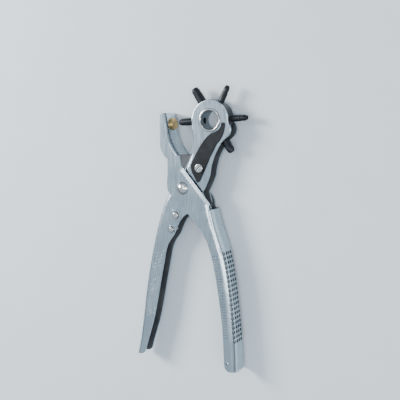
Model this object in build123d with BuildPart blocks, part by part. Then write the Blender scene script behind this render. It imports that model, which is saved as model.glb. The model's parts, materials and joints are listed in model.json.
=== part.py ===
"""Rotary hole punch: two crossing pressed-steel levers, a turning wheel of six punch tubes and a brass anvil.

Frame: millimetres. The origin is on the main pivot axis, in the plane that the tool lies on. +Z runs along
the pivot axis towards the side with the domed rivet heads, and +Y runs from the handles towards the jaws.
"""

import os
from math import asin, atan2, cos, degrees, hypot, radians, sin

from build123d import *

os.makedirs("parts", exist_ok=True)


# ---------------------------------------------------------------- driving dimensions

# Anvil lever: a channel whose web faces +X. It carries the anvil jaw and the right handle.
ANVIL_DEPTH = 21.0
ANVIL_SHEET = 1.7
JAW_BEND = 3.6
HANDLE_BEND = 6.0
JAW_WEB_END = 28.4
HANDLE_WEB_TOP = -17.6
JAW_TOP = 66.2
ANVIL_HANDLE_END = -156.4
HANGING_HOLE = (44.4, -149.0)
HANGING_HOLE_RADIUS = 1.3
MID = ANVIL_DEPTH / 2

# Bevelled lip beside the window that the punch lever passes through.
LIP_TOP = (1.8, 16.0)
LIP_END = (27.4, -13.0)
LIP_BEVEL = 3.0
LIP_DROP = 1.0
LIP_LEAD = 3.0

# Punch lever: a narrower channel, web towards -X, that passes between the anvil lever's flanges.
PUNCH_DEPTH = 14.2
PUNCH_SHEET = 1.6
PUNCH_BEND = 4.0
PUNCH_WEB_TOP = 30.2
PUNCH_HANDLE_END = -155.6
PUNCH_BACK = MID - PUNCH_DEPTH / 2
PUNCH_FRONT = MID + PUNCH_DEPTH / 2
PLATE_ROUND = 0.8

# Punch wheel and its hollow hub.
HUB = (25.2, 60.2)
DISC_RADIUS = 17.8
DRUM_RADIUS = 18.1
DRUM_WIDTH = 10.2
DRUM_ROUND = 0.7
EYELET_OUTER = 9.2
EYELET_INNER = 8.3
EYELET_RIM = 10.3
RIM_HEIGHT = 0.9
RIM_EDGE = 0.3
RIM_TUCK = 0.2
HUB_WASHER = 0.35
HUB_WASHER_RADIUS = 11.4
SLUG_HOLE = 2.7

# Punch tubes. The working one faces the anvil.
TIP_RADIUS = 33.0
TUBE_ROOT = 13.2
FIRST_TUBE_ANGLE = 184.0
TUBE_STEP = 60.0
GROOVE_FOOT = TIP_RADIUS - 6.4
GROOVE_WIDTH = 0.9
GROOVE_DEPTH = 0.45
TIP_STEP = 0.25
TIP_TAPER = 2.4
TIP_WALL = 0.35
BORE_RELIEF = 0.25
BORE_LAND = 2.5
# name, bore diameter and outside diameter, clockwise from the tube that faces the anvil
TUBES = [
    ("punch_tube_4_0", 4.0, 7.0),
    ("punch_tube_5_0", 5.0, 8.0),
    ("punch_tube_2_5", 2.5, 5.6),
    ("punch_tube_3_0", 3.0, 5.8),
    ("punch_tube_4_5", 4.5, 7.5),
    ("punch_tube_3_5", 3.5, 6.6),
]

# Anvil, riveted through the jaw's web.
CLOSING_ANGLE = 5.4
CLOSED_GAP = 0.08
ANVIL_RADIUS = 5.2
ANVIL_THICKNESS = 2.8
ANVIL_CHAMFER = 0.4
SHANK_RADIUS = 2.5
SHANK_LENGTH = 1.9
SHANK_HEAD = 3.4
SHANK_HEAD_HEIGHT = 0.7

# Main pivot.
RUNNING = 0.05
PIVOT_RADIUS = 4.0
PIVOT_HEAD = 5.5
PIVOT_SUNK_HEAD = 6.2
PIVOT_SINK = 1.5
PIVOT_WASHER_RADIUS = 8.0
DOME_EDGE = 0.5
DOME_HEIGHT = 2.3

# Small fasteners.
SMALL_RIVET = 2.0
SPRING_PIN = (-8.4, -25.0)
SPRING_ANCHOR = (-13.0, -37.9)
REAR_HEAD = 1.1
BOSS_HEIGHT = 0.4
PIN_BOSS = 5.6
ANCHOR_BOSS = 3.8
INDEX_SCREW = (15.5, 18.1)
SCREW_HEAD_RADIUS = 3.9
SCREW_HEAD_HEIGHT = 1.5
SCREW_END = 0.3
SLOT_WIDTH = 1.1
SLOT_DEPTH = 0.8
SLOT_TURN = 42
NUT_RADIUS = 3.9
NUT_THICKNESS = 1.8

# Index spring and the stud under its tip.
LEAF = 0.9
STUD_ANGLE = -22.0
STUD_ORBIT = 13.4
STUD_RADIUS = 1.2
STUD_REACH = 0.25
INDENT_RADIUS = 1.6
INDENT_RISE = 1.0

# Return spring.
SPRING_WIDTH = 8.0
SPRING_SHEET = 1.1

# Grip patterns and the stiffening bead.
DIMPLE_PITCH = 4.0
DIMPLE_WIDTH = 2.6
DIMPLE_DEPTH = 0.95
FINE_PITCH = 2.4
FINE_WIDTH = 1.2
FINE_DEPTH = 0.35
SLANT_PITCH = 3.2
SLANT_WIDTH = 1.2
SLANT_DEPTH = 0.12
SLANT_LEAN = 32
BEAD_RADIUS = 2.4
BEAD_HEIGHT = 0.5

# Longer than any part of the tool: for cuts that run right out of it.
FAR = 80.0


# ---------------------------------------------------------------- lever curves

# Runs of the webs' outer faces, seen from the front, each from the jaw end to the handle end.
JAW_WEB = [(-18.6, 71.0), (-17.3, 64.0), (-15.9, 56.2), (-14.2, 47.0), (-10.2, 38.0), (-2.6, JAW_WEB_END)]
HANDLE_WEB = [
    LIP_END, (32.2, -31.0), (39.4, -51.0), (45.6, -80.0), (49.6, -112.0), (51.6, -138.0), (52.4, -160.0),
]
PUNCH_WEB = [
    (5.6, PUNCH_WEB_TOP), (-0.6, 17.0), (-18.4, -8.6), (-28.4, -35.0), (-35.2, -63.5),
    (-41.1, -96.0), (-46.0, -133.0), (-51.6, -160.0),
]


def run_of(points):
    """The smooth curve through a list of points."""
    with BuildLine() as run:
        Spline(*points)
    return run.edges()[0]


def shifted(points, distance, samples=14):
    """Points on the curve through the list, moved sideways by a distance, positive towards +X."""
    run = run_of(points)
    moved = []
    for step in range(samples + 1):
        place = run @ (step / samples)
        along = run % (step / samples)
        moved.append((place.X - along.Y * distance, place.Y + along.X * distance))
    return moved


def web_block(points, far_x, back, front, bend, inset=0):
    """A block on one side of a web's face, rounded along its two long rims and drawn in by the inset."""
    towards = 1 if far_x > 0 else -1
    outline = shifted(points, towards * inset) if inset else points
    with BuildPart() as block:
        with BuildSketch(Plane.XY.offset(back + inset)):
            with BuildLine():
                face_run = Spline(*outline)
                top, end = face_run @ 0, face_run @ 1
                Polyline(end, (far_x, end.Y), (far_x, top.Y), top)
            make_face()
        extrude(amount=front - back - 2 * inset)
        fillet(block.edges().filter_by(GeomType.BSPLINE), bend - inset)
    return block.part


def prism(points, back, front):
    """A straight-sided block over a closed polygon."""
    with BuildPart() as block:
        with BuildSketch(Plane.XY.offset(back)):
            with BuildLine():
                Polyline(*points, close=True)
            make_face()
        extrude(amount=front - back)
    return block.part


def cross_slabs(points, first, last, pitch, width, reach, lean=0, lift=0):
    """Thin upright slabs across a handle, spaced along the curve through the points."""
    run = run_of(points)
    slab = Box(width, reach, ANVIL_DEPTH + 2, mode=Mode.PRIVATE)
    slabs = []
    for step in range(int(run.length / pitch)):
        at = step * pitch / run.length
        place = run @ at
        if last < place.Y < first:
            along = run % at
            turn = degrees(atan2(along.Y, along.X)) + lean
            slabs.append(Pos(place.X, place.Y, MID + lift) * Rot(0, 0, turn) * slab)
    return slabs


# ---------------------------------------------------------------- main pivot

# Domed head in front, flush countersunk head at the back.
dome_foot = ANVIL_DEPTH + DOME_EDGE
dome_top = dome_foot + DOME_HEIGHT
dome_radius = (PIVOT_HEAD**2 + DOME_HEIGHT**2) / (2 * DOME_HEIGHT)
half_way = asin(PIVOT_HEAD / dome_radius) / 2
dome_middle = (dome_radius * sin(half_way), dome_top - dome_radius * (1 - cos(half_way)))

with BuildPart() as main_pivot_rivet:
    with BuildSketch(Plane.XZ):
        with BuildLine():
            Polyline((0, 0), (PIVOT_SUNK_HEAD, 0), (PIVOT_RADIUS, PIVOT_SINK), (PIVOT_RADIUS, ANVIL_DEPTH))
            Polyline((PIVOT_RADIUS, ANVIL_DEPTH), (PIVOT_HEAD, ANVIL_DEPTH), (PIVOT_HEAD, dome_foot))
            ThreePointArc((PIVOT_HEAD, dome_foot), dome_middle, (0, dome_top))
            Line((0, dome_top), (0, 0))
        make_face()
    revolve(axis=Axis.Z)
main_pivot_rivet.part.label = "main_pivot_rivet"
export_step(main_pivot_rivet.part, "parts/main_pivot_rivet.step")


# ---------------------------------------------------------------- anvil

# The anvil's face meets the working tube squarely when the punch lever is closed.
closing = radians(CLOSING_ANGLE)
aim = radians(FIRST_TUBE_ANGLE + CLOSING_ANGLE)
anvil_reach = TIP_RADIUS + CLOSED_GAP
closed_x = HUB[0] * cos(closing) - HUB[1] * sin(closing) + anvil_reach * cos(aim)
closed_y = HUB[0] * sin(closing) + HUB[1] * cos(closing) + anvil_reach * sin(aim)
anvil_face = Plane(origin=(closed_x, closed_y, MID), x_dir=(0, 0, 1), z_dir=(-cos(aim), -sin(aim), 0))

with BuildPart() as anvil:
    with BuildSketch(anvil_face):
        Circle(ANVIL_RADIUS)
    extrude(amount=-ANVIL_THICKNESS)
    chamfer(anvil.faces().sort_by(Axis.X)[-1].edges(), ANVIL_CHAMFER)
    # shank through the web, riveted over inside the jaw
    with BuildSketch(anvil_face.offset(-ANVIL_THICKNESS)):
        Circle(SHANK_RADIUS)
    extrude(amount=-SHANK_LENGTH)
    with BuildSketch(anvil_face.offset(-ANVIL_THICKNESS - SHANK_LENGTH)):
        Circle(SHANK_HEAD)
    extrude(amount=-SHANK_HEAD_HEIGHT, taper=30)
anvil.part.label = "anvil"
export_step(anvil.part, "parts/anvil.step")


# ---------------------------------------------------------------- anvil lever

jaw_outside = web_block(JAW_WEB, -FAR, 0, ANVIL_DEPTH, JAW_BEND)
jaw_hollow = web_block(JAW_WEB, -FAR, 0, ANVIL_DEPTH, JAW_BEND, inset=ANVIL_SHEET)
handle_outside = web_block(HANDLE_WEB, -FAR, 0, ANVIL_DEPTH, HANDLE_BEND)
handle_hollow = web_block(HANDLE_WEB, -FAR, 0, ANVIL_DEPTH, HANDLE_BEND, inset=ANVIL_SHEET)
dimple_floor = web_block(HANDLE_WEB, -FAR, 0, ANVIL_DEPTH, HANDLE_BEND, inset=DIMPLE_DEPTH)

# The middle stretch, where the two webs are cut away, ends at the lip.
waist = prism(
    [(-FAR, JAW_WEB_END), (-2.6, JAW_WEB_END), (-1.2, 20.4), LIP_TOP, LIP_END, (-FAR, LIP_END[1])],
    0,
    ANVIL_DEPTH,
)

# The window that the punch lever passes through.
window = prism(
    [(-FAR, JAW_WEB_END + 1), (FAR, JAW_WEB_END + 1), (FAR, HANDLE_WEB_TOP), (-FAR, HANDLE_WEB_TOP)],
    ANVIL_SHEET,
    ANVIL_DEPTH - ANVIL_SHEET,
)

# Stiffening bead: a rounded ridge that lies halfway round the front bend.
bead_centre = HANDLE_BEND + BEAD_HEIGHT - BEAD_RADIUS
bead_inset = HANDLE_BEND - bead_centre * sin(radians(45))
bead_level = ANVIL_DEPTH - HANDLE_BEND + bead_centre * cos(radians(45))
bead_run = shifted([p for p in HANDLE_WEB if p[1] > -60], -bead_inset)
bead_points = [(x, y, bead_level) for x, y in bead_run if -54 < y < -17]
with BuildPart() as bend_bead:
    with BuildLine() as bead_line:
        Spline(*bead_points)
    with BuildSketch(Plane(origin=bead_points[0], z_dir=tuple(bead_line.edges()[0] % 0))):
        Circle(BEAD_RADIUS)
    sweep(path=bead_line.edges()[0])
    with Locations(bead_points[0], bead_points[-1]):
        Sphere(BEAD_RADIUS)

# Dimples: grooves across the handle, kept only between the lands that run along it.
LANDS = [(-2, 1.6), (4.0, 5.1), (8.1, 9.1), (11.9, 12.9), (15.9, 17.0), (19.4, 23)]
dimple_slabs = cross_slabs(HANDLE_WEB, -52, -132, DIMPLE_PITCH, DIMPLE_WIDTH, 12)
with BuildPart() as anvil_grip:
    add(dimple_slabs)
    for low, high in LANDS:
        with BuildSketch(Plane.XY.offset(low)):
            Rectangle(4 * FAR, 6 * FAR)
        extrude(amount=high - low, mode=Mode.SUBTRACT)
    add(dimple_floor, mode=Mode.SUBTRACT)

# Fine cross ribs on the front flange.
flange_middle = shifted(HANDLE_WEB, -9.4)
fine_lift = ANVIL_DEPTH + 1 - FINE_DEPTH
fine_ribs = cross_slabs(flange_middle, -56, -128, FINE_PITCH, FINE_WIDTH, 7.2, lift=fine_lift)

lip_length = hypot(LIP_END[0] - LIP_TOP[0], LIP_END[1] - LIP_TOP[1])
lip_along = Vector(LIP_END[0] - LIP_TOP[0], LIP_END[1] - LIP_TOP[1], 0).normalized()
lip_across = (-lip_along.Y, lip_along.X, 0)
lip_plane = Plane(origin=(*LIP_TOP, ANVIL_DEPTH), x_dir=lip_across, z_dir=tuple(lip_along))

with BuildPart() as anvil_lever:
    add(jaw_outside)
    add(handle_outside)
    add(waist)
    # plan shape of both flanges, open beyond the webs
    with BuildSketch():
        with BuildLine():
            Polyline((-20.4, JAW_TOP), (FAR, JAW_TOP), (FAR, ANVIL_HANDLE_END), (47.0, ANVIL_HANDLE_END))
            ThreePointArc((47.0, ANVIL_HANDLE_END), (43.4, -155.0), (41.6, -151.6))
            Spline(
                (41.6, -151.6), (39.4, -118.0), (35.2, -88.0), (29.6, -60.5),
                (21.6, -40.0), (12.0, -28.0), (6.0, -22.8),
                tangents=[(-0.06, 1), (-1, 0.7)],
            )
            Polyline((6.0, -22.8), (3.6, -20.4), (-6.4, -8.6), (-9.8, -7.6))
            ThreePointArc((-9.8, -7.6), (-14.0, -3.6), (-15.8, 3.0))
            Polyline((-15.8, 3.0), (-14.9, 13.0), (-15.0, 25.4))
            ThreePointArc((-15.0, 25.4), (-20.0, 30.4), (-22.7, 37.6))
            Line((-22.7, 37.6), (-23.1, 63.4))
            ThreePointArc((-23.1, 63.4), (-22.3, 65.4), (-20.4, JAW_TOP))
        make_face()
    extrude(amount=ANVIL_DEPTH, mode=Mode.INTERSECT)
    add(bend_bead.part)
    add(jaw_hollow, mode=Mode.SUBTRACT)
    add(handle_hollow, mode=Mode.SUBTRACT)
    add(window, mode=Mode.SUBTRACT)
    # the rear flange stops shorter beside the window and turns down to the bend's foot
    with BuildSketch():
        with BuildLine():
            Polyline((20.6, -7.8), (-1.6, 17.6), (FAR, 17.6), (FAR, HANDLE_WEB_TOP), (22.6, HANDLE_WEB_TOP))
            ThreePointArc((22.6, HANDLE_WEB_TOP), (22.2, -12.0), (20.6, -7.8))
        make_face()
    extrude(amount=ANVIL_SHEET, mode=Mode.SUBTRACT)
    # bevel along the lip
    with BuildSketch(lip_plane.offset(-LIP_LEAD)):
        Polygon((-LIP_BEVEL, 0), (-LIP_BEVEL, 2), (LIP_BEVEL, 2), (LIP_BEVEL, -2 * LIP_DROP), align=None)
    extrude(amount=lip_length + 2 * LIP_LEAD, mode=Mode.SUBTRACT)
    # seats of the pivot rivet and the anvil's shank
    add(main_pivot_rivet.part, mode=Mode.SUBTRACT)
    add(anvil.part, mode=Mode.SUBTRACT)
    # hanging hole near the handle's end
    with Locations((*HANGING_HOLE, ANVIL_DEPTH)):
        Hole(HANGING_HOLE_RADIUS, depth=ANVIL_SHEET + 1)
    # grip patterns
    add(anvil_grip.part, mode=Mode.SUBTRACT)
    add(fine_ribs, mode=Mode.SUBTRACT)
anvil_lever.part.label = "anvil_lever"
export_step(anvil_lever.part, "parts/anvil_lever.step")


# ---------------------------------------------------------------- index spring, stud, screw and nut

stud_x = HUB[0] + STUD_ORBIT * cos(radians(STUD_ANGLE))
stud_y = HUB[1] + STUD_ORBIT * sin(radians(STUD_ANGLE))

# Flat leaf on the front plate, hooked round the hub's rim.
with BuildPart() as index_spring:
    with BuildSketch(Plane.XY.offset(PUNCH_FRONT)):
        with BuildLine():
            ThreePointArc((36.9, 56.9), (36.2, 54.2), (33.2, 51.2))
            ThreePointArc((33.2, 51.2), (30.0, 49.6), (26.8, 48.6))
            Spline((26.8, 48.6), (20.6, 42.8), (15.4, 35.8), (10.6, 27.4), (7.6, 21.6))
            ThreePointArc((7.6, 21.6), (7.4, 17.6), (9.6, 12.4))
            Polyline((9.6, 12.4), (13.4, 5.4), (15.6, 6.4), (20.4, 16.0), (25.9, 28.2), (32.2, 39.6))
            ThreePointArc((32.2, 39.6), (38.0, 47.6), (40.0, 56.6))
            ThreePointArc((40.0, 56.6), (38.6, 58.2), (36.9, 56.9))
        make_face()
        with Locations(INDEX_SCREW):
            Circle(SMALL_RIVET, mode=Mode.SUBTRACT)
    extrude(amount=LEAF)
index_spring.part.label = "index_spring"
export_step(index_spring.part, "parts/index_spring.step")

# Stud under the leaf's tip: it reaches through the front plate to the drum's indents.
with BuildPart() as index_stud:
    with BuildSketch(Plane((stud_x, stud_y, PUNCH_FRONT))):
        Circle(STUD_RADIUS)
    extrude(amount=-(PUNCH_SHEET + STUD_REACH))
    fillet(index_stud.faces().sort_by(Axis.Z)[0].edges(), STUD_RADIUS / 2)
index_stud.part.label = "index_stud"
export_step(index_stud.part, "parts/index_stud.step")

screw_seat = PUNCH_FRONT + LEAF
screw_tip = PUNCH_BACK - NUT_THICKNESS - SCREW_END
with BuildPart() as index_spring_screw:
    with BuildSketch(Plane((*INDEX_SCREW, screw_tip))):
        Circle(SMALL_RIVET)
    extrude(amount=screw_seat - screw_tip)
    with BuildSketch(Plane((*INDEX_SCREW, screw_seat))):
        Circle(SCREW_HEAD_RADIUS)
    extrude(amount=SCREW_HEAD_HEIGHT)
    fillet(index_spring_screw.faces().sort_by(Axis.Z)[-1].edges(), SCREW_HEAD_HEIGHT / 2)
    # driver slot
    with BuildSketch(Plane((*INDEX_SCREW, screw_seat + SCREW_HEAD_HEIGHT))):
        Rectangle(3 * SCREW_HEAD_RADIUS, SLOT_WIDTH, rotation=SLOT_TURN)
    extrude(amount=-SLOT_DEPTH, mode=Mode.SUBTRACT)
index_spring_screw.part.label = "index_spring_screw"
export_step(index_spring_screw.part, "parts/index_spring_screw.step")

with BuildPart() as index_spring_nut:
    with BuildSketch(Plane((*INDEX_SCREW, PUNCH_BACK - NUT_THICKNESS))):
        RegularPolygon(NUT_RADIUS, 6)
        Circle(SMALL_RIVET, mode=Mode.SUBTRACT)
    extrude(amount=NUT_THICKNESS)
index_spring_nut.part.label = "index_spring_nut"
export_step(index_spring_nut.part, "parts/index_spring_nut.step")


# ---------------------------------------------------------------- spring rivets

# Across the punch lever: a domed head in front on its boss, and a low head behind.
for name, place, head, dome in [
    ("spring_pivot_rivet", SPRING_PIN, 3.0, 1.3),
    ("spring_anchor_rivet", SPRING_ANCHOR, 2.4, 0.9),
]:
    with BuildPart() as spring_rivet:
        with BuildSketch(Plane((*place, PUNCH_BACK - REAR_HEAD))):
            Circle(head - 0.4)
        extrude(amount=REAR_HEAD)
        chamfer(spring_rivet.faces().sort_by(Axis.Z)[0].edges(), REAR_HEAD / 2)
        with BuildSketch(Plane((*place, PUNCH_BACK))):
            Circle(SMALL_RIVET)
        extrude(amount=PUNCH_DEPTH + BOSS_HEIGHT)
        with BuildSketch(Plane((*place, PUNCH_FRONT + BOSS_HEIGHT))):
            Circle(head)
        extrude(amount=dome)
        fillet(spring_rivet.faces().sort_by(Axis.Z)[-1].edges(), dome * 0.8)
    spring_rivet.part.label = name
    export_step(spring_rivet.part, f"parts/{name}.step")


# ---------------------------------------------------------------- hub eyelet

# Rolled tube through both plates, open right through, with a slot where the working tube's slugs fall in.
crown = (EYELET_INNER + EYELET_RIM) / 2 - 0.1
rear_tuck, front_tuck = PUNCH_BACK - RIM_TUCK, PUNCH_FRONT + RIM_TUCK
rear_edge, front_edge = PUNCH_BACK - RIM_EDGE, PUNCH_FRONT + RIM_EDGE
rear_crown, front_crown = (crown, PUNCH_BACK - RIM_HEIGHT), (crown, PUNCH_FRONT + RIM_HEIGHT)
working_side = (cos(radians(FIRST_TUBE_ANGLE)), sin(radians(FIRST_TUBE_ANGLE)), 0)
with BuildPart() as hub_eyelet:
    with BuildSketch(Plane(origin=(*HUB, 0), x_dir=(1, 0, 0), z_dir=(0, -1, 0))):
        with BuildLine():
            Line((EYELET_INNER, front_tuck), (EYELET_INNER, rear_tuck))
            ThreePointArc((EYELET_INNER, rear_tuck), rear_crown, (EYELET_RIM, rear_edge))
            Polyline(
                (EYELET_RIM, rear_edge), (EYELET_RIM, PUNCH_BACK), (EYELET_OUTER, PUNCH_BACK),
                (EYELET_OUTER, PUNCH_FRONT), (EYELET_RIM, PUNCH_FRONT), (EYELET_RIM, front_edge),
            )
            ThreePointArc((EYELET_RIM, front_edge), front_crown, (EYELET_INNER, front_tuck))
        make_face()
    revolve(axis=Axis((*HUB, 0), (0, 0, 1)))
    with BuildSketch(Plane(origin=(*HUB, MID), x_dir=(0, 0, 1), z_dir=working_side)):
        Circle(SLUG_HOLE)
    extrude(amount=EYELET_RIM + 1, mode=Mode.SUBTRACT)
hub_eyelet.part.label = "hub_eyelet"
export_step(hub_eyelet.part, "parts/hub_eyelet.step")


# ---------------------------------------------------------------- washers

plate_inner_back = PUNCH_BACK + PUNCH_SHEET
plate_inner_front = PUNCH_FRONT - PUNCH_SHEET
flange_inner_back = ANVIL_SHEET + RUNNING
flange_inner_front = ANVIL_DEPTH - ANVIL_SHEET - RUNNING
pivot_bore = PIVOT_RADIUS + RUNNING
hub_ring = (EYELET_OUTER, HUB_WASHER_RADIUS)
pivot_ring = (pivot_bore, PIVOT_WASHER_RADIUS)

for name, place, back, front, inner, outer in [
    ("hub_washer_front", HUB, plate_inner_front - HUB_WASHER, plate_inner_front, *hub_ring),
    ("hub_washer_rear", HUB, plate_inner_back, plate_inner_back + HUB_WASHER, *hub_ring),
    ("pivot_washer_front", (0, 0), PUNCH_FRONT, flange_inner_front, *pivot_ring),
    ("pivot_washer_rear", (0, 0), flange_inner_back, PUNCH_BACK, *pivot_ring),
]:
    with BuildPart() as washer:
        with BuildSketch(Plane((*place, back))):
            Circle(outer)
            Circle(inner, mode=Mode.SUBTRACT)
        extrude(amount=front - back)
    washer.part.label = name
    export_step(washer.part, f"parts/{name}.step")


# ---------------------------------------------------------------- punch wheel

drum_back = MID - DRUM_WIDTH / 2
drum_front = MID + DRUM_WIDTH / 2


def tube_plane(index, radius):
    """A plane square to one tube's axis, facing outwards, at a radius from the hub's axis."""
    angle = radians(FIRST_TUBE_ANGLE - TUBE_STEP * index)
    out = Vector(cos(angle), sin(angle), 0)
    centre = Vector(*HUB, MID) + out * radius
    return Plane(origin=tuple(centre), x_dir=(0, 0, 1), z_dir=tuple(out))


with BuildPart() as punch_wheel:
    with BuildSketch(Plane((*HUB, drum_back))):
        Circle(DRUM_RADIUS)
        Circle(EYELET_OUTER + RUNNING, mode=Mode.SUBTRACT)
    extrude(amount=DRUM_WIDTH)
    fillet(punch_wheel.edges().filter_by(lambda e: e.length > 6 * DRUM_RADIUS), DRUM_ROUND)
    for index, (name, bore, outside) in enumerate(TUBES):
        # socket of the tube, and the slug's way from it into the hub
        with BuildSketch(tube_plane(index, TUBE_ROOT)):
            Circle(outside / 2)
        extrude(amount=DRUM_RADIUS, mode=Mode.SUBTRACT)
        with BuildSketch(tube_plane(index, EYELET_OUTER - 1)):
            Circle(SLUG_HOLE)
        extrude(amount=DRUM_RADIUS, mode=Mode.SUBTRACT)
        # shallow indent for the index stud
        angle = radians(STUD_ANGLE - TUBE_STEP * index)
        indent_x = HUB[0] + STUD_ORBIT * cos(angle)
        indent_y = HUB[1] + STUD_ORBIT * sin(angle)
        with Locations((indent_x, indent_y, drum_front + INDENT_RISE)):
            Sphere(INDENT_RADIUS, mode=Mode.SUBTRACT)
punch_wheel.part.label = "punch_wheel"
export_step(punch_wheel.part, "parts/punch_wheel.step")

# Each tube: a round body pressed into the drum, a turned groove, and a tip tapered to the cutting edge.
for index, (name, bore, outside) in enumerate(TUBES):
    square_on = tube_plane(index, 0)
    body = outside / 2
    relief = bore / 2 + BORE_RELIEF
    with BuildPart() as punch_tube:
        with BuildSketch(Plane(origin=square_on.origin, x_dir=square_on.x_dir, z_dir=-square_on.y_dir)):
            with BuildLine():
                Polyline(
                    (relief, TUBE_ROOT), (body, TUBE_ROOT), (body, GROOVE_FOOT),
                    (body - GROOVE_DEPTH, GROOVE_FOOT), (body - GROOVE_DEPTH, GROOVE_FOOT + GROOVE_WIDTH),
                    (body - TIP_STEP, GROOVE_FOOT + GROOVE_WIDTH), (body - TIP_STEP, TIP_RADIUS - TIP_TAPER),
                    (bore / 2 + TIP_WALL, TIP_RADIUS), (bore / 2, TIP_RADIUS),
                    (bore / 2, TIP_RADIUS - BORE_LAND), (relief, TIP_RADIUS - 2 * BORE_LAND),
                    (relief, TUBE_ROOT),
                )
            make_face()
        revolve(axis=Axis(square_on.origin, square_on.z_dir))
    punch_tube.part.label = name
    export_step(punch_tube.part, f"parts/{name}.step")


# ---------------------------------------------------------------- punch lever

punch_outside = web_block(PUNCH_WEB, FAR, PUNCH_BACK, PUNCH_FRONT, PUNCH_BEND)
punch_hollow = web_block(PUNCH_WEB, FAR, PUNCH_BACK, PUNCH_FRONT, PUNCH_BEND, inset=PUNCH_SHEET)

# Beyond the web's top the lever is two plates, with the wheel between them.
slot_foot = PUNCH_WEB_TOP - 0.8
plates = prism(
    [(-FAR, PUNCH_WEB_TOP), (-FAR, 2 * FAR), (FAR, 2 * FAR), (FAR, PUNCH_WEB_TOP)],
    PUNCH_BACK,
    PUNCH_FRONT,
)
between_plates = prism(
    [(-FAR, slot_foot), (-FAR, 2 * FAR), (FAR, 2 * FAR), (FAR, slot_foot)],
    plate_inner_back,
    plate_inner_front,
)

# The front flange alone has a stop shoulder, so this corner of the rear one is cut away.
rear_corner = prism(
    [(19.4, -6.4), (21.2, -12.0), (20.6, -18.5), (32, -18.5), (32, -6.4)],
    PUNCH_BACK - 1,
    MID,
)

slant_middle = shifted(PUNCH_WEB, 8.8)
slant_lift = PUNCH_FRONT + 1 - SLANT_DEPTH
slant_ribs = cross_slabs(
    slant_middle, -56, -118, SLANT_PITCH, SLANT_WIDTH, 10.0, lean=SLANT_LEAN, lift=slant_lift
)

disc_left = (HUB[0] - DISC_RADIUS, HUB[1])
disc_right = (HUB[0] + DISC_RADIUS * cos(radians(-6)), HUB[1] + DISC_RADIUS * sin(radians(-6)))

with BuildPart() as punch_lever:
    add(punch_outside)
    add(plates)
    # plan shape of both flanges, open beyond the web
    with BuildSketch():
        with BuildLine():
            ThreePointArc(disc_right, (HUB[0], HUB[1] + DISC_RADIUS), disc_left)
            ThreePointArc(disc_left, (8.0, 50.0), (10.0, 40.6))
            Polyline((10.0, 40.6), (5.6, PUNCH_WEB_TOP), (-FAR, PUNCH_WEB_TOP))
            Polyline((-FAR, PUNCH_WEB_TOP), (-FAR, PUNCH_HANDLE_END), (-45.6, PUNCH_HANDLE_END))
            ThreePointArc((-45.6, PUNCH_HANDLE_END), (-42.6, -154.4), (-40.8, -151.0))
            Spline(
                (-40.8, -151.0), (-33.4, -127.0), (-25.6, -91.0),
                (-20.2, -63.6), (-15.6, -49.4), (-10.6, -42.6),
                tangents=[(0.25, 1), (0.6, 0.8)],
            )
            Spline((-10.6, -42.6), (-7.4, -35.4), (-3.4, -28.4), (3.0, -22.6), tangents=[(0.4, 1), (1, 0.7)])
            Polyline((3.0, -22.6), (13.0, -18.4), (20.0, -17.5), (26.6, -17.5), (26.6, -15.6))
            Polyline((26.6, -15.6), (20.2, -7.4), (18.4, -3.4))
            ThreePointArc((18.4, -3.4), (22.0, 3.6), (25.6, 12.6))
            ThreePointArc((25.6, 12.6), (28.4, 25.7), (36.6, 40.8))
            Line((36.6, 40.8), (42.6, 46.2))
            ThreePointArc((42.6, 46.2), (45.5, 52.0), disc_right)
        make_face()
    extrude(amount=ANVIL_DEPTH, mode=Mode.INTERSECT)
    # soft outer rims of the two plates
    head_rims = punch_lever.edges().filter_by(lambda e: e.center().Y > 34 and e.length > 12)
    fillet(head_rims.filter_by(lambda e: abs(e.center().Z - MID) > PUNCH_DEPTH / 2 - 0.2), PLATE_ROUND)
    add(punch_hollow, mode=Mode.SUBTRACT)
    add(between_plates, mode=Mode.SUBTRACT)
    add(rear_corner, mode=Mode.SUBTRACT)
    # raised bosses round the spring's rivets
    with BuildSketch(Plane((*SPRING_PIN, PUNCH_FRONT))):
        Circle(PIN_BOSS)
    with BuildSketch(Plane((*SPRING_ANCHOR, PUNCH_FRONT))):
        Circle(ANCHOR_BOSS)
    extrude(amount=BOSS_HEIGHT, taper=30)
    # holes for the pivot, the eyelet, the rivets, the screw and the stud
    with BuildSketch():
        Circle(pivot_bore)
        with Locations(HUB):
            Circle(EYELET_OUTER)
        with Locations(SPRING_PIN, SPRING_ANCHOR, INDEX_SCREW):
            Circle(SMALL_RIVET)
        with Locations((stud_x, stud_y)):
            Circle(STUD_RADIUS + 0.1)
    extrude(amount=ANVIL_DEPTH, mode=Mode.SUBTRACT)
    # slanted grip ribs on the front flange
    add(slant_ribs, mode=Mode.SUBTRACT)
punch_lever.part.label = "punch_lever"
export_step(punch_lever.part, "parts/punch_lever.step")


# ---------------------------------------------------------------- return spring

# Flat steel strip: foot hooked over the lower rivet, an eye round the upper one, and a free arm that
# bears on the inside of the anvil lever's web.
pin_x, pin_y = SPRING_PIN
foot_x, foot_y = SPRING_ANCHOR
eye = SMALL_RIVET + SPRING_SHEET / 2 + RUNNING
with BuildPart() as return_spring:
    with BuildSketch(Plane.XY.offset(MID - SPRING_WIDTH / 2)):
        with BuildLine():
            foot_arc = ThreePointArc(
                (foot_x - 1.4, foot_y - 2.2), (foot_x - 2.6, foot_y + 0.3), (foot_x - 1.4, foot_y + 2.2)
            )
            Line(foot_arc @ 1, (pin_x - eye, pin_y - 2.0))
            ThreePointArc((pin_x - eye, pin_y - 2.0), (pin_x - eye + 0.2, pin_y + 1.2), (pin_x, pin_y + eye))
            Spline(
                (pin_x, pin_y + eye), (1.0, -23.4), (14.0, -26.2), (24.0, -29.4), (29.2, -33.4),
                tangents=[(1, 0), (0.6, -1)],
            )
        trace(line_width=SPRING_SHEET)
    extrude(amount=SPRING_WIDTH)
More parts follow.
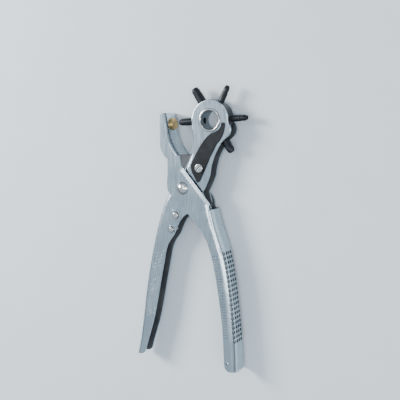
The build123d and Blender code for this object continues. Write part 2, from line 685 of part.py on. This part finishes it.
return_spring.part.label = "return_spring"
export_step(return_spring.part, "parts/return_spring.step")
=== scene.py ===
import json
from math import cos, pi, radians, sin

import bmesh
import bpy
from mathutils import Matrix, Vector


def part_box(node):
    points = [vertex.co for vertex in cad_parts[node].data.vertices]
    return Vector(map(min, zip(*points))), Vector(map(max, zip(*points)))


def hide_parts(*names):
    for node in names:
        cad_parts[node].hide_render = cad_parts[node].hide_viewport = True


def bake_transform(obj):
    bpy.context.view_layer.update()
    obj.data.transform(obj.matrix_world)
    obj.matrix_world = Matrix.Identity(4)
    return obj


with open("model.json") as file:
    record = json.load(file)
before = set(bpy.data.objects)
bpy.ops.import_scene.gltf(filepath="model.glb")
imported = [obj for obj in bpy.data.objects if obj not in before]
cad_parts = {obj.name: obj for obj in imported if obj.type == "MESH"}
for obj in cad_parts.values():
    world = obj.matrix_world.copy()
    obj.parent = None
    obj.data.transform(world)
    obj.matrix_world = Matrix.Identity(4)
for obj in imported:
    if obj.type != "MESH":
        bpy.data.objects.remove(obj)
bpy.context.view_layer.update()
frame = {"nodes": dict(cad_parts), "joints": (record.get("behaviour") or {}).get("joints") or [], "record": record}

MM = 0.001


def rgb(r, g, b):
    return (r, g, b, 1.0)


# ---------------------------------------------------------------- sizes and colours

# Heights between each lever's flanges, in millimetres.
ANVIL_LEVER_HOLLOW = (1.65, 19.35)
PUNCH_LEVER_HOLLOW = (4.95, 16.05)
# The most that a face inside a hollow may turn towards its lever's web.
HOLLOW_FACING = 0.35
# Lean of the drawing lines along each lever, and tilt of the anvil's axis from X.
DRAWN_LEAN = 0.12
ANVIL_TILT = radians(9.4)
# The eyelet's bore wall is nearer the hub's axis than this.
EYELET_WALL_RADIUS = 8.45 * MM

# How far painted shade reaches from a corner, how wide the painted shadow round a rivet head is, and how wide
# edges are rounded for the light.
PLATE_SHADE_REACH = 0.0026
RIVET_SHADE_REACH = 0.0012
HEAD_SHADOW_WIDTH = 0.0011
PLATE_EDGE = 0.00010
RIVET_EDGE = 0.0003
BLACK_EDGE = 0.00035
BRASS_EDGE = 0.00035
BRASS_RING_PITCH = 0.00045

PLATE_DEEP, PLATE_PALE = rgb(0.49, 0.575, 0.63), rgb(0.57, 0.655, 0.705)
# Painted shade for the plate's corners and creases.
PLATE_CORNER_SHADE = rgb(0.03, 0.032, 0.035)
PLATE_SPECKS = rgb(0.40, 0.39, 0.38)
# Painted shadow ring round the rivet heads.
HEAD_SHADOW_RING = rgb(0.10, 0.085, 0.07)
# Painted shade inside the folded channels.
HOLLOW_SHADE_DEEP, HOLLOW_SHADE_PALE = rgb(0.085, 0.094, 0.104), rgb(0.15, 0.158, 0.168)
RIVET_STEEL, RIVET_NICKS = rgb(0.76, 0.75, 0.73), rgb(0.35, 0.34, 0.33)
# Painted shade in the rivets' corners.
RIVET_CORNER_SHADE = rgb(0.03, 0.03, 0.03)
# Painted shade on the eyelet's bore wall.
BORE_SHADE_DEEP, BORE_SHADE_PALE = rgb(0.30, 0.335, 0.36), rgb(0.50, 0.53, 0.56)
BLACK_DEEP, BLACK_PALE = (0.014, 0.016, 0.019), (0.030, 0.034, 0.039)
BLACK_RUBBED = rgb(0.09, 0.10, 0.11)
BRASS_DEEP, BRASS_PALE = rgb(0.74, 0.47, 0.17), rgb(0.86, 0.60, 0.27)
BRASS_MARKS = rgb(0.42, 0.25, 0.09)
FLOOR_DEEP, FLOOR_PALE = rgb(0.80, 0.87, 0.92), rgb(0.82, 0.89, 0.94)


# ---------------------------------------------------------------- shader helpers

class Shader:
    """A material under construction: makes nodes and wires them."""

    def __init__(self, name):
        self.mat = bpy.data.materials.new(name)
        self.mat.use_nodes = True
        self.tree = self.mat.node_tree
        self.bsdf = self.tree.nodes["Principled BSDF"]
        coords = self.node("ShaderNodeTexCoord")
        self.object = coords.outputs["Object"]
        self.height = None

    def node(self, kind, **props):
        made = self.tree.nodes.new(kind)
        for key, value in props.items():
            setattr(made, key, value)
        return made

    def link(self, source, target):
        self.tree.links.new(source, target)

    def put(self, target, value):
        if hasattr(value, "is_output"):
            self.link(value, target)
        else:
            target.default_value = value

    def math(self, operation, a, b=0.0):
        made = self.node("ShaderNodeMath", operation=operation)
        self.put(made.inputs[0], a)
        self.put(made.inputs[1], b)
        return made.outputs[0]

    def vmath(self, operation, a, b=(0, 0, 0)):
        made = self.node("ShaderNodeVectorMath", operation=operation)
        self.put(made.inputs[0], a)
        self.put(made.inputs[1], b)
        return made.outputs["Value"] if operation in ("DOT_PRODUCT", "LENGTH") else made.outputs[0]

    def stretch(self, scale, turn=(0, 0, 0)):
        """Object coordinates in millimetres, turned and scaled."""
        made = self.node("ShaderNodeMapping")
        self.link(self.object, made.inputs["Vector"])
        made.inputs["Rotation"].default_value = turn
        made.inputs["Scale"].default_value = tuple(1000.0 * s for s in scale)
        return made.outputs[0]

    def noise(self, vector, detail, rough=0.55):
        made = self.node("ShaderNodeTexNoise")
        self.link(vector, made.inputs["Vector"])
        made.inputs["Scale"].default_value = 1.0
        made.inputs["Detail"].default_value = detail
        made.inputs["Roughness"].default_value = rough
        return made.outputs["Fac"]

    def span(self, value, low, high, out_low=0.0, out_high=1.0):
        made = self.node("ShaderNodeMapRange", interpolation_type="SMOOTHSTEP")
        self.put(made.inputs["Value"], value)
        made.inputs["From Min"].default_value = low
        made.inputs["From Max"].default_value = high
        made.inputs["To Min"].default_value = out_low
        made.inputs["To Max"].default_value = out_high
        return made.outputs["Result"]

    def mix(self, factor, a, b):
        """Colour mix."""
        made = self.node("ShaderNodeMix", data_type="RGBA")
        self.put(made.inputs[0], factor)
        self.put(made.inputs[6], a)
        self.put(made.inputs[7], b)
        return made.outputs[2]

    def blend(self, factor, a, b):
        """Number mix."""
        made = self.node("ShaderNodeMix", data_type="FLOAT")
        self.put(made.inputs[0], factor)
        self.put(made.inputs[2], a)
        self.put(made.inputs[3], b)
        return made.outputs[0]

    def bump(self, height, strength, distance, normal=None):
        made = self.node("ShaderNodeBump")
        made.inputs["Strength"].default_value = strength
        made.inputs["Distance"].default_value = distance
        self.link(height, made.inputs["Height"])
        if normal is not None:
            self.link(normal, made.inputs["Normal"])
        return made.outputs["Normal"]

    def soft_edges(self, radius):
        """Normals rounded over at the edges."""
        made = self.node("ShaderNodeBevel", samples=6)
        made.inputs["Radius"].default_value = radius
        return made.outputs["Normal"]

    def corners(self, reach, low, high):
        """1 deep in corners and 0 in the open."""
        made = self.node("ShaderNodeAmbientOcclusion", samples=8)
        made.inputs["Distance"].default_value = reach
        return self.span(made.outputs["AO"], low, high, 1.0, 0.0)

    def from_axis(self, centre):
        """Distance from a vertical axis through centre."""
        flat = self.vmath("MULTIPLY", self.vmath("SUBTRACT", self.object, tuple(centre)), (1, 1, 0))
        return self.vmath("LENGTH", flat)

    def finish(self, colour, metallic, roughness, normal):
        self.put(self.bsdf.inputs["Base Color"], colour)
        self.put(self.bsdf.inputs["Metallic"], metallic)
        self.put(self.bsdf.inputs["Roughness"], roughness)
        self.link(normal, self.bsdf.inputs["Normal"])
        return self.mat


def channel_inside(s, hollow, side):
    """1 on the faces inside a folded channel, 0 outside. side is +1 where the hollow opens towards -X."""
    low, high = hollow
    xyz = s.node("ShaderNodeSeparateXYZ")
    s.link(s.stretch((1, 1, 1)), xyz.inputs[0])
    over = s.math("GREATER_THAN", xyz.outputs["Z"], low)
    under = s.math("LESS_THAN", xyz.outputs["Z"], high)
    geometry = s.node("ShaderNodeNewGeometry")
    faces = s.vmath("DOT_PRODUCT", geometry.outputs["True Normal"], (side, 0, 0))
    turned = s.math("LESS_THAN", faces, HOLLOW_FACING)
    return s.math("MULTIPLY", s.math("MULTIPLY", over, under), turned)


def plated(name, hollow, side, lean, heads=()):
    """Bright plate over pressed steel, with painted shade inside the folded channel and in corners, and a painted
    shadow ring round rivet heads.
    """
    s = Shader(name)
    inside = channel_inside(s, hollow, side)
    clouds = s.noise(s.stretch((0.06, 0.06, 0.06)), 4.0)
    drawn = s.noise(s.stretch((1.6, 0.06, 1.6), (0, 0, lean)), 3.0)
    grain = s.noise(s.stretch((2.2, 2.2, 2.2)), 2.0)
    specks = s.span(s.noise(s.stretch((0.9, 0.9, 0.9)), 6.0, 0.7), 0.62, 0.72)
    plate = s.mix(s.span(clouds, 0.35, 0.65), PLATE_DEEP, PLATE_PALE)
    # Painted shade: corners and creases are darkened from ambient occlusion.
    corner_shade = s.corners(PLATE_SHADE_REACH, 0.42, 0.86)
    plate = s.mix(s.math("MULTIPLY", corner_shade, 0.92), plate, PLATE_CORNER_SHADE)
    plate = s.mix(s.math("MULTIPLY", specks, 0.35), plate, PLATE_SPECKS)
    # Painted shadow: a dark ring round each rivet head.
    for centre, radius in heads:
        head_shadow = s.span(s.from_axis(centre), radius, radius + HEAD_SHADOW_WIDTH, 0.8, 0.0)
        plate = s.mix(head_shadow, plate, HEAD_SHADOW_RING)
    # Painted shade for the faces inside the channel, mixed in below.
    hollow_shade = s.mix(s.span(clouds, 0.3, 0.7), HOLLOW_SHADE_DEEP, HOLLOW_SHADE_PALE)
    rough = s.blend(s.span(drawn, 0.3, 0.7), 0.19, 0.30)
    rough = s.math("ADD", rough, s.math("MULTIPLY", specks, 0.12))
    waves = s.noise(s.stretch((0.05, 0.035, 0.05)), 1.0)
    normal = s.bump(waves, 0.12, 0.0012, s.soft_edges(PLATE_EDGE))
    normal = s.bump(drawn, 0.06, 0.0002, normal)
    normal = s.bump(grain, 0.05, 0.0001, normal)
    colour = s.mix(inside, plate, hollow_shade)
    return s.finish(colour, s.blend(inside, 1.0, 0.35), s.blend(inside, rough, 0.62), normal)


def bright(name, bore_axis=None):
    """Polished plated steel: rivets, eyelet, washers and screw, with painted shade in corners. A bore's wall is
    painted dark as shade.
    """
    s = Shader(name)
    turned = s.noise(s.stretch((1.5, 1.5, 0.5)), 4.0)
    nicks = s.span(s.noise(s.stretch((0.8, 0.8, 0.8)), 5.0, 0.7), 0.60, 0.70)
    colour = s.mix(s.math("MULTIPLY", nicks, 0.3), RIVET_STEEL, RIVET_NICKS)
    # Painted shade: corners are darkened from ambient occlusion.
    corner_shade = s.corners(RIVET_SHADE_REACH, 0.35, 0.85)
    colour = s.mix(s.math("MULTIPLY", corner_shade, 0.9), colour, RIVET_CORNER_SHADE)
    rough = s.blend(s.span(turned, 0.3, 0.7), 0.12, 0.26)
    # Painted shade: the bore's wall is coloured dark.
    if bore_axis is not None:
        wall = s.math("LESS_THAN", s.from_axis(bore_axis), EYELET_WALL_RADIUS)
        colour = s.mix(wall, colour, s.mix(nicks, BORE_SHADE_DEEP, BORE_SHADE_PALE))
        rough = s.blend(wall, rough, 0.5)
    normal = s.bump(turned, 0.08, 0.0002, s.soft_edges(RIVET_EDGE))
    return s.finish(colour, 1.0, rough, normal)


def black_oxide(name, rough_low, rough_high, tone=1.0):
    """Black oxide over steel, rubbed in places. A lower tone makes it blacker."""
    s = Shader(name)
    clouds = s.noise(s.stretch((0.12, 0.12, 0.12)), 5.0)
    grain = s.noise(s.stretch((1.8, 1.8, 1.8)), 3.0)
    rubbed = s.span(s.noise(s.stretch((0.35, 0.35, 0.35)), 6.0, 0.65), 0.60, 0.75)
    deep, pale = ([c * tone for c in colour] for colour in (BLACK_DEEP, BLACK_PALE))
    colour = s.mix(s.span(clouds, 0.3, 0.7), rgb(*deep), rgb(*pale))
    colour = s.mix(s.math("MULTIPLY", rubbed, 0.35), colour, BLACK_RUBBED)
    rough = s.blend(s.span(grain, 0.3, 0.7), rough_low, rough_high)
    normal = s.bump(grain, 0.10, 0.0002, s.soft_edges(BLACK_EDGE))
    return s.finish(colour, 0.55, rough, normal)


def turned_brass(name, centre, axis):
    """Turned brass with fine rings about the anvil's axis and a few punch marks."""
    s = Shader(name)
    place = s.vmath("SUBTRACT", s.object, tuple(centre))
    along = s.vmath("DOT_PRODUCT", place, tuple(axis))
    across = s.node("ShaderNodeVectorMath", operation="SCALE")
    across.inputs[0].default_value = tuple(axis)
    s.link(along, across.inputs["Scale"])
    radial = s.vmath("LENGTH", s.vmath("SUBTRACT", place, across.outputs[0]))
    rings = s.math("SINE", s.math("MULTIPLY", radial, 2 * pi / BRASS_RING_PITCH))
    patches = s.noise(s.stretch((0.25, 0.25, 0.25)), 4.0)
    marks = s.span(s.noise(s.stretch((0.6, 0.6, 0.6)), 4.0), 0.58, 0.66)
    colour = s.mix(s.span(patches, 0.3, 0.7), BRASS_DEEP, BRASS_PALE)
    colour = s.mix(s.math("MULTIPLY", marks, 0.4), colour, BRASS_MARKS)
    rough = s.blend(s.span(patches, 0.3, 0.7), 0.22, 0.36)
    normal = s.bump(rings, 0.12, 0.0001, s.soft_edges(BRASS_EDGE))
    normal = s.bump(marks, 0.15, 0.0003, normal)
    return s.finish(colour, 1.0, rough, normal)


# ---------------------------------------------------------------- materials on the CAD nodes

def centre_of(node):
    low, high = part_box(node)
    return (Vector(low) + Vector(high)) / 2


def half_width_of(node):
    low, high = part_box(node)
    return (high[0] - low[0]) / 2


hub = next(Vector(joint["pos_m"]) for joint in frame["joints"] if joint["name"] == "wheel_spin")
anvil_axis = Vector((cos(ANVIL_TILT), sin(ANVIL_TILT), 0))
# Rivet heads that get a painted shadow ring on the punch lever.
heads = [(centre_of(node), half_width_of(node)) for node in ("spring_pivot_rivet", "spring_anchor_rivet")]

plate_a = plated("plated_steel_anvil_lever", ANVIL_LEVER_HOLLOW, 1, -DRAWN_LEAN)
plate_b = plated("plated_steel_punch_lever", PUNCH_LEVER_HOLLOW, -1, DRAWN_LEAN, heads)
rivet = bright("bright_rivet_steel")
eyelet = bright("bright_eyelet_steel", hub)
oxide = black_oxide("black_oxide_steel", 0.30, 0.46)
leaf = black_oxide("black_spring_leaf", 0.40, 0.55, tone=0.55)
brass = turned_brass("turned_brass", centre_of("anvil"), anvil_axis)

finishes = {"anvil_lever": plate_a, "punch_lever": plate_b, "hub_eyelet": eyelet}
slots = {part["node"]: part["material_slot"] for part in frame["record"]["subparts"]}
by_slot = {"bright_rivet": rivet, "black_steel": oxide, "black_spring_steel": leaf, "brass": brass}
for name, node in frame["nodes"].items():
    material = finishes.get(name) or by_slot[slots[name]]
    node.data.materials.clear()
    node.data.materials.append(material)


# ---------------------------------------------------------------- return spring

# A flat strip with an eye round the upper spring rivet. Its foot stays on the punch lever, and its free
# arm bears on the inside of the anvil lever's handle.

# Rounding of the strip's edges, as a share of its thickness.
STRIP_CORNER = 0.3


def strip_mesh(name, path, width, thickness, level):
    """A strip of rectangular section with rounded edges that follows a flat path at mid height."""
    lip = thickness * STRIP_CORNER
    cut = lip * STRIP_CORNER
    half_w, half_t = width / 2, thickness / 2
    section = [
        (-half_t, half_w - lip), (-half_t + cut, half_w - cut), (-half_t + lip, half_w),
        (half_t - lip, half_w), (half_t - cut, half_w - cut), (half_t, half_w - lip),
    ]
    section += [(x, -y) for x, y in reversed(section)]
    made = bmesh.new()
    rings = []
    for index, here in enumerate(path):
        before = path[max(index - 1, 0)]
        after = path[min(index + 1, len(path) - 1)]
        along = (after - before).normalized()
        side = Vector((-along.y, along.x, 0))
        rings.append([made.verts.new(here + side * x + Vector((0, 0, level + y))) for x, y in section])
    count = len(section)
    for ring, following in zip(rings, rings[1:]):
        for k in range(count):
            made.faces.new((ring[k], ring[(k + 1) % count], following[(k + 1) % count], following[k]))
    made.faces.new(list(reversed(rings[0])))
    made.faces.new(rings[-1])
    bmesh.ops.recalc_face_normals(made, faces=made.faces)
    mesh = bpy.data.meshes.new(name)
    made.to_mesh(mesh)
    made.free()
    return mesh


def smooth_path(points, per_span):
    """Catmull-Rom points through a few flat points in millimetres."""
    pts = [Vector((x * MM, y * MM, 0)) for x, y in points]
    pts = [pts[0] * 2 - pts[1]] + pts + [pts[-1] * 2 - pts[-2]]
    path = []
    for a, b, c, d in zip(pts, pts[1:], pts[2:], pts[3:]):
        for step in range(per_span):
            t = step / per_span
            square = (2 * a - 5 * b + 4 * c - d) * t ** 2
            cube = (3 * b - a - 3 * c + d) * t ** 3
            path.append(0.5 * (2 * b + (c - a) * t + square + cube))
    path.append(pts[-2])
    return path


# Millimetres. The foot's points are measured from the lower rivet, and the arm's are in the frame.
STRIP_WIDTH = 8.0
STRIP_THICKNESS = 1.05
EYE_RADIUS = 2.62
EYE_TURN = [radians(degrees) for degrees in range(190, 89, -20)]
FOOT = [(-1.4, -2.2), (-2.55, 0.0), (-1.9, 2.4)]
FREE_ARM = [(1.0, -23.4), (14.0, -26.2), (24.0, -29.4), (28.9, -33.0)]
STEPS_PER_SPAN = 6

pin = centre_of("spring_pivot_rivet") / MM
foot = centre_of("spring_anchor_rivet") / MM
foot_points = [(foot.x + x, foot.y + y) for x, y in FOOT]
eye_points = [(pin.x + EYE_RADIUS * cos(turn), pin.y + EYE_RADIUS * sin(turn)) for turn in EYE_TURN]
between = [tuple((a + b) / 2 for a, b in zip(foot_points[-1], eye_points[0]))]
spring_path = smooth_path(foot_points + between + eye_points + FREE_ARM, STEPS_PER_SPAN)
spring_mesh = strip_mesh(
    "return_spring_strip", spring_path, STRIP_WIDTH * MM, STRIP_THICKNESS * MM, centre_of("return_spring").z
)
spring = bpy.data.objects.new("return_spring_strip", spring_mesh)
spring_mesh.materials.append(leaf)
bpy.context.collection.objects.link(spring)
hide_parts("return_spring")
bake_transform(spring)


# ---------------------------------------------------------------- floor, light and camera

FLOOR_HALF_WIDTH = 2.5
FLOOR_DROP = 0.0002


def pale_floor():
    s = Shader("pale_floor")
    fog = s.noise(s.stretch((0.02, 0.02, 0.02)), 4.0)
    speckle = s.noise(s.stretch((1.0, 1.0, 1.0)), 2.0)
    colour = s.mix(s.span(fog, 0.3, 0.7), FLOOR_DEEP, FLOOR_PALE)
    return s.finish(colour, 0.0, s.blend(speckle, 0.75, 0.9), s.bump(speckle, 0.03, 0.0002))


bm = bmesh.new()
bmesh.ops.create_grid(bm, x_segments=1, y_segments=1, size=FLOOR_HALF_WIDTH)
floor_mesh = bpy.data.meshes.new("floor")
bm.to_mesh(floor_mesh)
bm.free()
floor = bpy.data.objects.new("floor", floor_mesh)
floor.location = (0, 0, -FLOOR_DROP)
floor_mesh.materials.append(pale_floor())
bpy.context.collection.objects.link(floor)


def area_light(name, place, aim, size, power):
    data = bpy.data.lights.new(name, "AREA")
    data.shape = "RECTANGLE"
    data.size, data.size_y = size
    data.energy = power
    lamp = bpy.data.objects.new(name, data)
    lamp.location = place
    lamp.rotation_euler = (Vector(aim) - Vector(place)).to_track_quat("-Z", "Y").to_euler()
    bpy.context.collection.objects.link(lamp)


area_light("key", (-0.95, 0.35, 0.75), (0, -0.03, 0), (0.34, 0.5), 20.0)
area_light("top", (-0.03, 0.42, 0.98), (0.01, 0.0, 0), (0.16, 0.2), 0.8)
area_light("strip", (0.62, -0.05, 0.95), (0.03, -0.03, 0), (0.22, 1.4), 6.0)

# Height of the heading, from the horizon to straight up, and the light that comes from there.
SKY = (
    (0.0, rgb(0.15, 0.175, 0.205)),
    (0.38, rgb(0.20, 0.235, 0.275)),
    (0.66, rgb(0.56, 0.665, 0.77)),
    (1.0, rgb(0.53, 0.63, 0.73)),
)
world = bpy.data.worlds.new("studio")
world.use_nodes = True
sky = world.node_tree
background = sky.nodes["Background"]
heading = sky.nodes.new("ShaderNodeTexCoord")
parts = sky.nodes.new("ShaderNodeSeparateXYZ")
sky.links.new(heading.outputs["Generated"], parts.inputs[0])
ramp = sky.nodes.new("ShaderNodeValToRGB")
sky.links.new(parts.outputs["Z"], ramp.inputs["Fac"])
stops = ramp.color_ramp.elements
stops[0].position, stops[1].position = SKY[0][0], SKY[-1][0]
for height, _ in SKY[1:-1]:
    stops.new(height)
for stop, (_, colour) in zip(stops, SKY):
    stop.color = colour
sky.links.new(ramp.outputs["Color"], background.inputs["Color"])
background.inputs["Strength"].default_value = 1.0
bpy.context.scene.world = world

camera_data = bpy.data.cameras.new("camera")
camera_data.lens = 64.18
camera_data.sensor_width = 36.0
camera_data.shift_y = -0.15
camera = bpy.data.objects.new("camera", camera_data)
camera.location = (0.3106, 0.0654, 0.5654)
camera.rotation_euler = (radians(-2.065), radians(28.269), radians(0.045))
bpy.context.collection.objects.link(camera)
bpy.context.scene.camera = camera
